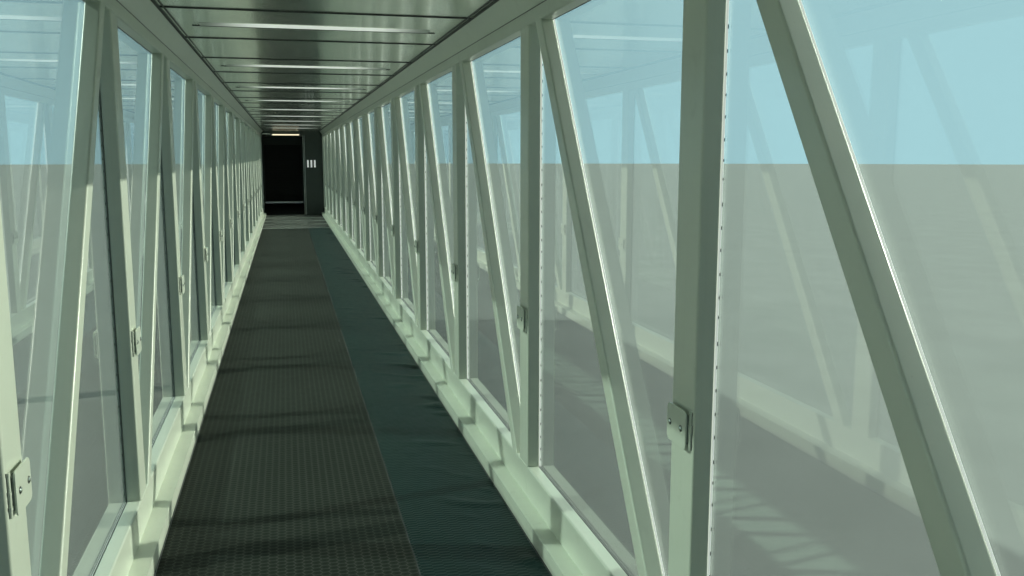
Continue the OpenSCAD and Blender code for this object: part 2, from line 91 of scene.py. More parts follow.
class JetBridgeSizes(bpy.types.PropertyGroup):
    """Sizes of the small parts that are added to the tunnel"""

    tube_radius: bpy.props.FloatProperty(
        name="Tube corner radius",
        description="Radius of the rounded corners of the truss tubes",
        default=0.008, min=0.002, max=0.015, unit="LENGTH")
    diagonal_width: bpy.props.FloatProperty(
        name="Diagonal width",
        description="Width of a diagonal, square to its length",
        default=0.075, min=0.05, max=0.1, unit="LENGTH")
    foot_gap: bpy.props.FloatProperty(
        name="Diagonal foot gap",
        description="Gap between a post and the foot of its diagonal",
        default=0.065, min=0.03, max=0.12, unit="LENGTH")
    head_gap: bpy.props.FloatProperty(
        name="Diagonal head gap",
        description="Gap between the head of a diagonal and the next post",
        default=0.107, min=0.04, max=0.15, unit="LENGTH")
    bracket_width: bpy.props.FloatProperty(
        name="Bracket width",
        description="Width of a handrail bracket plate along the tunnel",
        default=0.126, min=0.1, max=0.13, unit="LENGTH")
    bracket_height: bpy.props.FloatProperty(
        name="Bracket height",
        description="Height of a handrail bracket plate",
        default=0.112, min=0.09, max=0.16, unit="LENGTH")
    screw_radius: bpy.props.FloatProperty(
        name="Screw head radius",
        description="Radius of the round screw heads",
        default=0.008, min=0.004, max=0.012, unit="LENGTH")
    pucker_height: bpy.props.FloatProperty(
        name="Pucker height",
        description="Height of the puckers in the narrow floor mat",
        default=0.015, min=0.0, max=0.02, unit="LENGTH")
    slat_pitch: bpy.props.FloatProperty(
        name="Slat pitch",
        description="Height of one slat of the roller shutter",
        default=0.08, min=0.05, max=0.15, unit="LENGTH")
    roof_seam_pitch: bpy.props.FloatProperty(
        name="Roof seam pitch",
        description="Distance between the standing seams of the roof",
        default=0.6, min=0.3, max=1.2, unit="LENGTH")


class JetBridgeColours(bpy.types.PropertyGroup):
    """Colours of the finishes"""

    cream: bpy.props.FloatVectorProperty(
        name="Cream paint", description="Paint of the truss, kerbs and trims",
        default=(0.67, 0.715, 0.605), size=3, min=0, max=1, subtype="COLOR")
    frame_paint: bpy.props.FloatVectorProperty(
        name="Window frame paint", description="Paint of the window frames",
        default=(0.62, 0.66, 0.58), size=3, min=0, max=1, subtype="COLOR")
    glass: bpy.props.FloatVectorProperty(
        name="Glass tint", description="Tint of the window panes",
        default=(0.73, 0.82, 0.755), size=3, min=0, max=1, subtype="COLOR")
    ceiling: bpy.props.FloatVectorProperty(
        name="Ceiling metal", description="Colour of the glossy ceiling panels",
        default=(0.96, 1.0, 0.92), size=3, min=0, max=1, subtype="COLOR")
    mat: bpy.props.FloatVectorProperty(
        name="Wide mat", description="Rubber of the wide floor mat",
        default=(0.019, 0.0235, 0.0195), size=3, min=0, max=1, subtype="COLOR")
    narrow_mat: bpy.props.FloatVectorProperty(
        name="Narrow mat", description="Rubber of the narrow floor mat",
        default=(0.009, 0.024, 0.022), size=3, min=0, max=1, subtype="COLOR")
    steel: bpy.props.FloatVectorProperty(
        name="Steel paint", description="Paint of the trestles and beams",
        default=(0.50, 0.53, 0.51), size=3, min=0, max=1, subtype="COLOR")
    lamp: bpy.props.FloatVectorProperty(
        name="Lamp", description="Light of the lamp over the doorway",
        default=(1.0, 0.86, 0.58), size=3, min=0, max=1, subtype="COLOR")


def sizes():
    return bpy.context.scene.jet_bridge_sizes


def colours():
    return bpy.context.scene.jet_bridge_colours


def diagonal_shape():
    """Where the foot of a diagonal starts, its lean from the upright, and its width along the tunnel."""
    size = sizes()
    run = PITCH - POST - size.foot_gap - size.head_gap
    rise = HEAD - CHORD_TOP
    lean = math.acos(size.diagonal_width / math.hypot(run, rise)) - math.atan2(rise, run)
    return NEAR + POST + size.foot_gap, lean, size.diagonal_width / math.cos(lean)


# Shapes


def fresh(count):
    return [bmesh.new() for _ in range(count)]


def everything(bm):
    return list(bm.verts) + list(bm.edges) + list(bm.faces)


def only_verts(geometry):
    return [item for item in geometry if isinstance(item, bmesh.types.BMVert)]


def bevel(bm, edges, offset, segments, profile=0.5, clamp=False):
    bmesh.ops.bevel(bm, geom=list(edges), offset=offset, offset_type="OFFSET", segments=segments,
                    profile=profile, affect="EDGES", clamp_overlap=clamp, material=-1)


def add_block(bm, low, high, radius=0.0, along=None, segments=2, lean=0.0):
    """Adds a cuboid between two corners. Its edges along one axis, or all of them, are rounded.
    With a lean it is sheared along Y as it rises."""
    low, high = Vector(low), Vector(high)
    shear = Matrix.Identity(4)
    shear[1][2] = math.tan(lean)
    shear[1][3] = -low.z * math.tan(lean)
    place = shear @ Matrix.Translation((low + high) / 2) @ Matrix.Diagonal((*(high - low), 1))
    verts = bmesh.ops.create_cube(bm, size=1, matrix=place)["verts"]
    if radius:
        edges = {edge for vert in verts for edge in vert.link_edges}
        if along is not None:
            edges = {e for e in edges if abs((e.verts[0].co - e.verts[1].co).normalized()[along]) > 0.75}
        bevel(bm, edges, radius, segments, clamp=True)


def add_round(bm, centre, radius, height, axis="Z", segments=20, taper=1.0):
    """Adds a closed cylinder or cone that starts at its centre and grows along an axis."""
    turn = {"Z": Matrix.Identity(4), "X": Matrix.Rotation(math.pi / 2, 4, "Y"),
            "-X": Matrix.Rotation(-math.pi / 2, 4, "Y"), "-Z": Matrix.Rotation(math.pi, 4, "X")}[axis]
    place = Matrix.Translation(centre) @ turn @ Matrix.Translation((0, 0, height / 2))
    bmesh.ops.create_cone(bm, cap_ends=True, segments=segments, radius1=radius, radius2=radius * taper,
                          depth=height, matrix=place)


def add_dome(bm, centre, radius, height, segments=16):
    """Adds a smooth screw head that bulges along X, half of it inside what it sits on."""
    place = Matrix.Translation(centre) @ Matrix.Diagonal((height, radius, radius, 1)) @ Matrix.Rotation(
        math.pi / 2, 4, "Y")
    bmesh.ops.create_uvsphere(bm, u_segments=segments, v_segments=segments // 2, radius=1, matrix=place)


def add_screw(bm, centre, radius, axis, segments=12):
    """Adds a washer with a low domed screw head on it."""
    add_round(bm, centre, radius * 1.35, radius * 0.16, axis, segments)
    add_round(bm, centre, radius, radius * 0.5, axis, segments, 0.88)
    add_round(bm, centre, radius * 0.88, radius * 0.72, axis, segments, 0.62)


def add_nut(bm, centre, size, axis):
    """Adds a washer, a hexagon nut and the end of its stud."""
    add_round(bm, centre, size * 1.1, size * 0.2, axis, 20)
    add_round(bm, centre, size * 0.98, size * 0.95, axis, 6)
    add_round(bm, centre, size * 0.52, size * 1.5, axis, 12, 0.9)


def repeat(bm, steps):
    """Copies what the bmesh holds to each offset."""
    geometry = everything(bm)
    for step in steps:
        copy = bmesh.ops.duplicate(bm, geom=geometry)["geom"]
        bmesh.ops.translate(bm, vec=Vector(step), verts=only_verts(copy))


def bay_steps(count):
    return [(0, PITCH * index, 0) for index in range(1, count)]


def to_side(bm, side):
    """Takes what is built for the right wall to the left one, or adds its mirror image."""
    if side == "left":
        bmesh.ops.scale(bm, vec=(-1, 1, 1), verts=bm.verts)
    elif side == "both":
        copy = bmesh.ops.duplicate(bm, geom=everything(bm))["geom"]
        bmesh.ops.scale(bm, vec=(-1, 1, 1), verts=only_verts(copy))


def join(source, target, side=None):
    """Moves everything from one bmesh into another."""
    to_side(source, side)
    mesh = bpy.data.meshes.new("part")
    source.to_mesh(mesh)
    source.free()
    target.from_mesh(mesh)
    bpy.data.meshes.remove(mesh)


def finish_piece(name, bm, finish, replaces=(), side=None, smooth=True):
    """Makes the piece from its bmesh, in place, and ties it to the frame."""
    to_side(bm, side)
    bmesh.ops.recalc_face_normals(bm, faces=bm.faces)
    if smooth:
        for face in bm.faces:
            face.smooth = True
        for edge in bm.edges:
            edge.smooth = edge.is_manifold and edge.calc_face_angle(0) < math.radians(50)
    mesh = bpy.data.meshes.new(name)
    bm.to_mesh(mesh)
    bm.free()
    mesh.materials.append(bpy.data.materials[finish])
    piece = bpy.data.objects.new(name, mesh)
    bpy.context.scene.collection.objects.link(piece)
    if smooth:
        weighted = piece.modifiers.new("Even shading", "WEIGHTED_NORMAL")
        weighted.keep_sharp = True
    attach(piece, "root")
    if replaces:
        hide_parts(*replaces)


# Finishes


def node(tree, kind, inputs=None, **settings):
    """Adds a shader node. Its inputs take values or the outputs of other nodes."""
    made = tree.nodes.new("ShaderNode" + kind)
    for name, value in settings.items():
        setattr(made, name, value)
    for key, value in (inputs or {}).items():
        if isinstance(value, bpy.types.NodeSocket):
            tree.links.new(value, made.inputs[key])
        else:
            made.inputs[key].default_value = value
    return made


def set_values(made, values):
    """Sets plain values on a node's sockets. An underscore stands for a space."""
    for label, value in values.items():
        made.inputs[label.replace("_", " ")].default_value = value


def use_group(tree, name, **values):
    made = tree.nodes.new("ShaderNodeGroup")
    made.node_tree = bpy.data.node_groups[name]
    set_values(made, values)
    return made.outputs


def object_coords(tree):
    return node(tree, "TexCoord").outputs["Object"]


def math_node(tree, operation, *values):
    return node(tree, "Math", dict(enumerate(values)), operation=operation).outputs[0]


def ramp(tree, value, low, high, start=0.0, end=1.0):
    """A smooth step from start to end while the value goes from low to high."""
    return node(tree, "MapRange", {0: value, 1: low, 2: high, 3: start, 4: end},
                interpolation_type="SMOOTHSTEP").outputs[0]


def mix_colour(tree, share, first, second):
    return node(tree, "Mix", {0: share, 6: first, 7: second}, data_type="RGBA").outputs[2]


def stretched(tree, coords, scale):
    return node(tree, "VectorMath", {0: coords, 1: scale}, operation="MULTIPLY").outputs[0]


def noise_at(tree, coords, scale, detail, roughness):
    return node(tree, "TexNoise", {"Vector": coords, "Scale": scale, "Detail": detail,
                                   "Roughness": roughness}).outputs[0]


def add_bump(tree, shader, height, distance, strength):
    bump = node(tree, "Bump", {"Height": height, "Distance": distance, "Strength": strength})
    tree.links.new(bump.outputs[0], shader.inputs["Normal"])


def new_group(name, inputs, outputs):
    """A shader node group with named sockets, and its first nodes."""
    tree = bpy.data.node_groups.new(name, "ShaderNodeTree")
    kinds = {"colour": "NodeSocketColor", "value": "NodeSocketFloat"}
    for label, kind, default in inputs:
        socket = tree.interface.new_socket(label, in_out="INPUT", socket_type=kinds[kind])
        socket.default_value = default
    for label, kind in outputs:
        tree.interface.new_socket(label, in_out="OUTPUT", socket_type=kinds[kind])
    start = tree.nodes.new("NodeGroupInput")
    end = tree.nodes.new("NodeGroupOutput")
    return tree, start.outputs, object_coords(tree), end.inputs


def make_weathering():
    """Tone that drifts over a surface, fine grain, streaks that run down it, and dirt."""
    tree, given, coords, out = new_group(
        "Weathering",
        [("Colour", "colour", (0.6, 0.6, 0.6, 1)), ("Dirt Colour", "colour", (0.1, 0.09, 0.07, 1)),
         ("Dirt", "value", 0.3), ("Variation", "value", 0.06), ("Scale", "value", 1.5),
         ("Streaks", "value", 0.3), ("Roughness", "value", 0.45), ("Grain Scale", "value", 420.0)],
        [("Colour", "colour"), ("Roughness", "value"), ("Height", "value"), ("Dirt Mask", "value")])
    broad = noise_at(tree, coords, given["Scale"], 4, 0.55)
    patch = noise_at(tree, coords, math_node(tree, "MULTIPLY", given["Scale"], 9.0), 6, 0.6)
    run = noise_at(tree, stretched(tree, coords, (21, 21, 0.9)), 1.0, 4, 0.6)
    fleck = noise_at(tree, coords, 62.0, 3, 0.6)
    grain = noise_at(tree, coords, given["Grain Scale"], 2, 0.5)
    # The tone swings about 1 with the broad noise and, less, with the patches
    tone = 1.0
    for swing, amount in ((broad, 5.0), (patch, 1.6)):
        tone = math_node(tree, "MULTIPLY_ADD", math_node(tree, "SUBTRACT", swing, 0.5),
                         math_node(tree, "MULTIPLY", given["Variation"], amount), tone)
    toned = node(tree, "VectorMath", {0: given["Colour"], "Scale": tone}, operation="SCALE").outputs[0]
    marks = math_node(tree, "MULTIPLY", ramp(tree, run, 0.56, 0.78), given["Streaks"])
    marks = math_node(tree, "ADD", marks, ramp(tree, patch, 0.58, 0.80, 0, 0.6))
    marks = math_node(tree, "ADD", marks, ramp(tree, fleck, 0.68, 0.78, 0, 0.7))
    mask = math_node(tree, "MINIMUM", math_node(tree, "MULTIPLY", marks, given["Dirt"]), 1.0)
    rough = math_node(tree, "MULTIPLY_ADD", mask, 0.3, given["Roughness"])
    rough = math_node(tree, "MULTIPLY_ADD", math_node(tree, "SUBTRACT", patch, 0.5), 0.16, rough)
    height = math_node(tree, "MULTIPLY_ADD", patch, 0.6, math_node(tree, "MULTIPLY", grain, 0.4))
    for name, value in (("Colour", mix_colour(tree, mask, toned, given["Dirt Colour"])),
                        ("Roughness", rough), ("Height", height), ("Dirt Mask", mask)):
        tree.links.new(value, out[name])


def make_band():
    """A mask that is full at one height and fades out above and below it."""
    tree, given, coords, out = new_group(
        "Height band", [("Middle", "value", 0.0), ("Reach", "value", 0.05)], [("Mask", "value")])
    height = node(tree, "SeparateXYZ", {0: coords}).outputs[2]
    away = math_node(tree, "ABSOLUTE", math_node(tree, "SUBTRACT", height, given["Middle"]))
    ragged = math_node(tree, "MULTIPLY_ADD", noise_at(tree, coords, 14.0, 4, 0.6), 1.4, 0.3)
    share = math_node(tree, "DIVIDE", away, math_node(tree, "MULTIPLY", given["Reach"], ragged))
    tree.links.new(ramp(tree, share, 1.0, 0.0), out["Mask"])


def make_cells():
    """Staggered six-sided cells on a floor mat: full on their raised rims and in their pits."""
    tree, given, coords, out = new_group(
        "Mat cells", [("Width", "value", 0.072), ("Length", "value", 0.033)],
        [("Rim", "value"), ("Pit", "value")])
    place = node(tree, "SeparateXYZ", {0: coords}).outputs

    def from_middle(shift):
        """Distance from the middle of a cell, where 1 is its edge."""
        across, along = (
            math_node(tree, "ABSOLUTE", math_node(tree, "SUBTRACT", math_node(tree, "FRACT", math_node(
                tree, "ADD", math_node(tree, "DIVIDE", place[axis], size), 1000.0 + shift)), 0.5))
            for axis, size in ((0, given["Width"]), (1, given["Length"])))
        slanted = math_node(tree, "MULTIPLY_ADD", across, 3.0, along)
        return math_node(tree, "MAXIMUM", math_node(tree, "MULTIPLY", along, 2.0), slanted)

    nearest = math_node(tree, "MINIMUM", from_middle(0.0), from_middle(0.5))
    tree.links.new(ramp(tree, nearest, 0.82, 0.95), out["Rim"])
    tree.links.new(ramp(tree, nearest, 0.55, 0.25), out["Pit"])


def start_material(name, base, **plain):
    """A material with one Principled shader, whose plain values are set on its own sockets."""
    material = bpy.data.materials.new(name)
    material.use_nodes = True
    tree = material.node_tree
    tree.nodes.clear()
    shader = node(tree, "BsdfPrincipled", {"Base Color": (*base, 1)})
    set_values(shader, plain)
    output = node(tree, "OutputMaterial", {"Surface": shader.outputs[0]})
    material.diffuse_color = (*base, 1)
    return tree, shader, output


def worn_material(name, base, wear, grain=0.0004, **plain):
    """A material with the weathering group in it. The wear lists the colour of its dirt, then the dirt,
    variation, scale, streaks and roughness. Without grain its surface is free for another bump."""
    dirt_colour, dirt, variation, scale, streaks, rough = wear
    tree, shader, _ = start_material(name, base, **plain)
    worn = use_group(tree, "Weathering", Colour=(*base, 1), Dirt_Colour=(*dirt_colour, 1), Dirt=dirt,
                     Variation=variation, Scale=scale, Streaks=streaks, Roughness=rough)
    tree.links.new(worn["Colour"], shader.inputs["Base Color"])
    tree.links.new(worn["Roughness"], shader.inputs["Roughness"])
    if grain:
        add_bump(tree, shader, worn["Height"], grain, 0.6)
    return tree, shader, worn


def make_paints():
    """Paints, some of them with a band of grime at one height."""
    tint = colours()
    dirt = (0.16, 0.15, 0.11)
    worn_material("Cream paint", tint.cream, (dirt, 0.20, 0.035, 1.1, 0.25, 0.34),
                  Coat_Weight=0.25, Coat_Roughness=0.2)
    worn_material("Roof paint", (0.64, 0.67, 0.61), ((0.21, 0.2, 0.17), 0.75, 0.07, 0.55, 0.3, 0.52), 0.001)
    worn_material("Dark green paint", (0.035, 0.048, 0.040), ((0.11, 0.115, 0.10), 0.3, 0.12, 2.0, 0.3, 0.42))
    for name, base, coat, wear, middle, reach, share, grime in (
            ("Kerb paint", tint.cream, 0.15, (dirt, 0.34, 0.05, 2.2, 0.15, 0.4),
             MAT + 0.004, 0.035, 0.4, (0.11, 0.105, 0.085, 1)),
            ("Window frame paint", tint.frame_paint, 0.2, (dirt, 0.35, 0.045, 0.9, 0.7, 0.4),
             CHORD_FOOT, 0.10, 0.5, (0.2, 0.19, 0.15, 1)),
            ("Steel paint", tint.steel, 0.0, ((0.19, 0.15, 0.11), 0.5, 0.06, 1.8, 0.8, 0.45),
             0.0, 0.45, 0.55, (0.23, 0.21, 0.17, 1))):
        tree, shader, worn = worn_material(name, base, wear, Coat_Weight=coat)
        band = use_group(tree, "Height band", Middle=middle, Reach=reach)[0]
        grimy = mix_colour(tree, math_node(tree, "MULTIPLY", band, share), worn["Colour"], grime)
        tree.links.new(grimy, shader.inputs["Base Color"])


def make_metals():
    """The glossy ceiling with slight waves in it, and the plainer metals."""
    tint = colours()
    tree, shader, _ = worn_material(
        "Ceiling metal", tint.ceiling, ((0.1, 0.09, 0.07), 0.0, 0.02, 1.4, 0.0, 0.23), 0,
        Metallic=0.9, Coat_Weight=0.25, Coat_Roughness=0.08)
    wave = noise_at(tree, stretched(tree, object_coords(tree), (2.6, 0.8, 1.0)), 1.0, 1, 0.4)
    add_bump(tree, shader, wave, 0.010, 0.8)
    for name, base, metal, gloss, rough, dirt in (
            ("Floor metal", (0.055, 0.060, 0.053), 0.0, 0.12, 0.60, 0.3),
            ("Zinc", (0.52, 0.53, 0.52), 0.75, 0.5, 0.36, 0.4),
            ("Dark metal", (0.46, 0.48, 0.44), 0.9, 0.5, 0.20, 0.3),
            ("Shutter metal", (0.016, 0.018, 0.018), 0.2, 0.5, 0.55, 0.3),
            ("Pale metal", (0.62, 0.64, 0.60), 0.75, 0.5, 0.30, 0.2)):
        worn_material(name, base, ((0.09, 0.085, 0.07), dirt, 0.08, 5.0, 0.25, rough),
                      Metallic=metal, Specular_IOR_Level=gloss)


def make_rubbers():
    """The two floor mats, with their cells and ribs, and the plainer rubbers, some of which are dark colours
    for painted shade.
    """
    tint = colours()
    tree, shader, worn = worn_material(
        "Cell rubber", tint.mat, ((0.050, 0.056, 0.047), 0.5, 0.10, 1.6, 0.0, 0.62), 0,
        Specular_IOR_Level=0.03)
    cells = use_group(tree, "Mat cells")
    rim, pit = (math_node(tree, "MULTIPLY", cells[name], share)
                for name, share in (("Rim", 0.8), ("Pit", 0.7)))
    add_bump(tree, shader, rim, 0.0022, 1.0)
    # The raised rims are lighter, which is a painted highlight, and the pits are darker, which is painted
    # shade.
    painted_rim_highlight = mix_colour(tree, rim, worn["Colour"], (0.048, 0.055, 0.046, 1))
    tree.links.new(mix_colour(tree, pit, painted_rim_highlight, (0.011, 0.0135, 0.0115, 1)), shader.inputs["Base Color"])

    tree, shader, _ = worn_material(
        "Ribbed rubber", tint.narrow_mat, ((0.045, 0.066, 0.062), 0.45, 0.10, 2.0, 0.0, 0.42), 0,
        Specular_IOR_Level=0.12)
    row_width, rib_pitch = 0.048, 0.027
    place = node(tree, "SeparateXYZ", {0: object_coords(tree)}).outputs
    row = math_node(tree, "FLOOR", math_node(tree, "DIVIDE", place[0], row_width))
    shifted = math_node(tree, "ADD", place[1], math_node(tree, "MULTIPLY", row, rib_pitch / 2))
    turn = math_node(tree, "MULTIPLY", shifted, 2 * math.pi / rib_pitch)
    add_bump(tree, shader, ramp(tree, math_node(tree, "SINE", turn), -0.35, 0.8), 0.0016, 0.9)

    # The gasket rubber also colours dark lines that are painted shade.
    for name, base, rough in (("Gasket rubber and painted shade", (0.022, 0.026, 0.025), 0.5),
                              ("White sealant", (0.80, 0.83, 0.78), 0.4),
                              # This dark grey is painted shade, for the left side strips and the bracket
                              # packers.
                              ("Painted shade grey", (0.16, 0.19, 0.175), 0.5),
                              ("Ramp rubber", (0.008, 0.010, 0.010), 0.7)):
        worn_material(name, base, ((0.10, 0.10, 0.085), 0.3, 0.1, 6.0, 0.1, rough))


def make_lights():
    """The housing of the ceiling lights, and what glows."""
    worn_material("White enamel", (0.74, 0.76, 0.71), ((0.25, 0.24, 0.2), 0.25, 0.03, 6.0, 0.0, 0.35))
    for name, base, glow, strength in (
            ("Lens glow", (0.62, 0.66, 0.60), (0.92, 1.0, 0.90), 0.58),
            # The strip beside the posts is no lamp: its glow is painted light for the sun shining through it.
            ("Painted backlight strip", (0.86, 0.90, 0.84), (0.93, 1.0, 0.92), 0.42),
            ("Warm glow", (0.9, 0.8, 0.6), colours().lamp, 1.15),
            ("Slit glow", (0.7, 0.74, 0.7), (0.80, 0.88, 0.82), 0.55)):
        tree, shader, worn = worn_material(name, base, ((0.4, 0.36, 0.26), 0.3, 0.04, 9.0, 0.2, 0.3),
                                           Emission_Strength=strength)
        dulled = math_node(tree, "MULTIPLY", worn["Dirt Mask"], 0.7)
        shown = mix_colour(tree, dulled, (*glow, 1), (0.5, 0.42, 0.3, 1))
        if name == "Lens glow":
            # The light fades toward both ends of a lamp
            across = node(tree, "SeparateXYZ", {0: object_coords(tree)}).outputs[0]
            fade = ramp(tree, math_node(tree, "ABSOLUTE", across), 0.30, 0.66)
            shown = mix_colour(tree, fade, shown, (0.02, 0.02, 0.02, 1))
        tree.links.new(shown, shader.inputs["Emission Color"])


def make_glass():
    """Clear tinted glass with a film of dust. Lamps and soft light pass straight through it."""
    tint = colours().glass
    tree, shader, output = start_material("Pane glass", tint, Transmission_Weight=1.0, IOR=1.5,
                                          Roughness=0.0, Specular_IOR_Level=1.0)
    coords = object_coords(tree)
    smear = noise_at(tree, stretched(tree, coords, (1, 1.6, 0.5)), 3.0, 5, 0.65)
    drops = noise_at(tree, coords, 55.0, 3, 0.6)
    dusty = math_node(tree, "ADD", ramp(tree, smear, 0.52, 0.80, 0, 0.10),
                      ramp(tree, drops, 0.70, 0.78, 0, 0.16))
    tree.links.new(mix_colour(tree, dusty, (*tint, 1), (0.62, 0.66, 0.60, 1)), shader.inputs["Base Color"])
    # Light that passes straight through meets both faces of a pane
    clear = node(tree, "BsdfTransparent", {"Color": (*(math.sqrt(share) for share in tint), 1)})
    rays = node(tree, "LightPath").outputs
    passing = math_node(tree, "MAXIMUM", rays["Is Shadow Ray"], rays["Is Diffuse Ray"])
    both = node(tree, "MixShader", {0: passing, 1: shader.outputs[0], 2: clear.outputs[0]})
    tree.links.new(both.outputs[0], output.inputs["Surface"])


NODE_FINISHES = {
    "Cream paint": ["ceiling_trims", "near_end_flange"],
    "Kerb paint": ["left_kerb", "right_kerb"],
    "Window frame paint": ["left_window_frames", "right_window_frames", "left_edge_beam",
                           "right_edge_beam", "soffit_sheet", "left_lobby_wall", "right_lobby_wall",
                           "lobby_end_wall"],
    "Pane glass": ["left_glass_panes", "right_glass_panes"],
    "Ceiling metal": ["ceiling_panels"],
    "White enamel": ["ceiling_lights"],
    "Cell rubber": ["wide_floor_mat"],
    "Ramp rubber": ["lobby_ramp"],
    "Floor metal": ["end_floor_plate", "floor_deck"],
    "Steel paint": ["floor_cross_beams", "roof_beams", "near_trestle_beams", "far_trestle_beams"],
    "Dark green paint": ["door_head_panel", "door_post", "slotted_side_panel", "shutter_frame"],
}


class JETBRIDGE_OT_finishes(bpy.types.Operator):
    """Make the paints, metals, rubbers and glass, and put them on the frame"""

    bl_idname = "jet_bridge.finishes"
    bl_label = "Finishes"

    def execute(self, context):
        for make in (make_weathering, make_band, make_cells, make_paints, make_metals, make_rubbers,
                     make_lights, make_glass):
            make()
        for finish, names in NODE_FINISHES.items():
            for name in names:
                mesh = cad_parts[name].data
                mesh.materials.clear()
                mesh.materials.append(bpy.data.materials[finish])
        return {"FINISHED"}


class JETBRIDGE_OT_truss(bpy.types.Operator):
    """Make the truss of each wall from tubes with rounded corners, and its welds"""

    bl_idname = "jet_bridge.truss"
    bl_label = "Truss tubes"

    def execute(self, context):
        radius = sizes().tube_radius
        foot, lean, cut = diagonal_shape()
        start = foot - radius * math.tan(lean)
        inside, over = CHORD_TOP - radius, HEAD + radius
        bead = 0.0035
        for side in ("left", "right"):
            for name, replaced, y0, y1, z0, z1, along, slant, count in (
                    ("post_tubes", "posts", NEAR, NEAR + POST, inside, over, 2, 0.0, BAYS + 1),
                    ("diagonal_tubes", "diagonals", start, start + cut, inside, over, 2, lean, BAYS),
                    ("lower_chord_tube", "lower_chord", NEAR, DOORWAY, CHORD_FOOT, CHORD_TOP, 1, 0.0, 1),
                    ("upper_chord_tube", "upper_chord", NEAR, DOORWAY, HEAD, CHORD_HEAD, 1, 0.0, 1)):
                bm = bmesh.new()
                add_block(bm, (TUBE_IN, y0, z0), (TUBE_OUT, y1, z1), radius, along, 4, slant)
                repeat(bm, bay_steps(count))
                finish_piece(f"{side}_{name}", bm, "Cream paint", [f"{side}_{replaced}"], side)
            # Thin weld beads at the foot and head of the posts, on their inner and far faces
            bm = bmesh.new()
            y = NEAR + POST - bead * 1.3
            for z, low, high in ((CHORD_TOP, CHORD_TOP - bead, CHORD_TOP + 2 * bead),
                                 (HEAD, HEAD - 2 * bead, HEAD + bead)):
                add_block(bm, (TUBE_IN - bead * 0.6, NEAR + radius, z - bead),
                          (TUBE_IN + bead, NEAR + POST - radius, z + bead), bead * 0.8, 1, 2)
                add_block(bm, (TUBE_IN + radius, y, low), (TUBE_OUT - radius, y + 2 * bead, high),
                          bead * 0.8, 0, 2)
            repeat(bm, bay_steps(BAYS))
            finish_piece(f"{side}_post_welds", bm, "Cream paint", side=side)
        return {"FINISHED"}


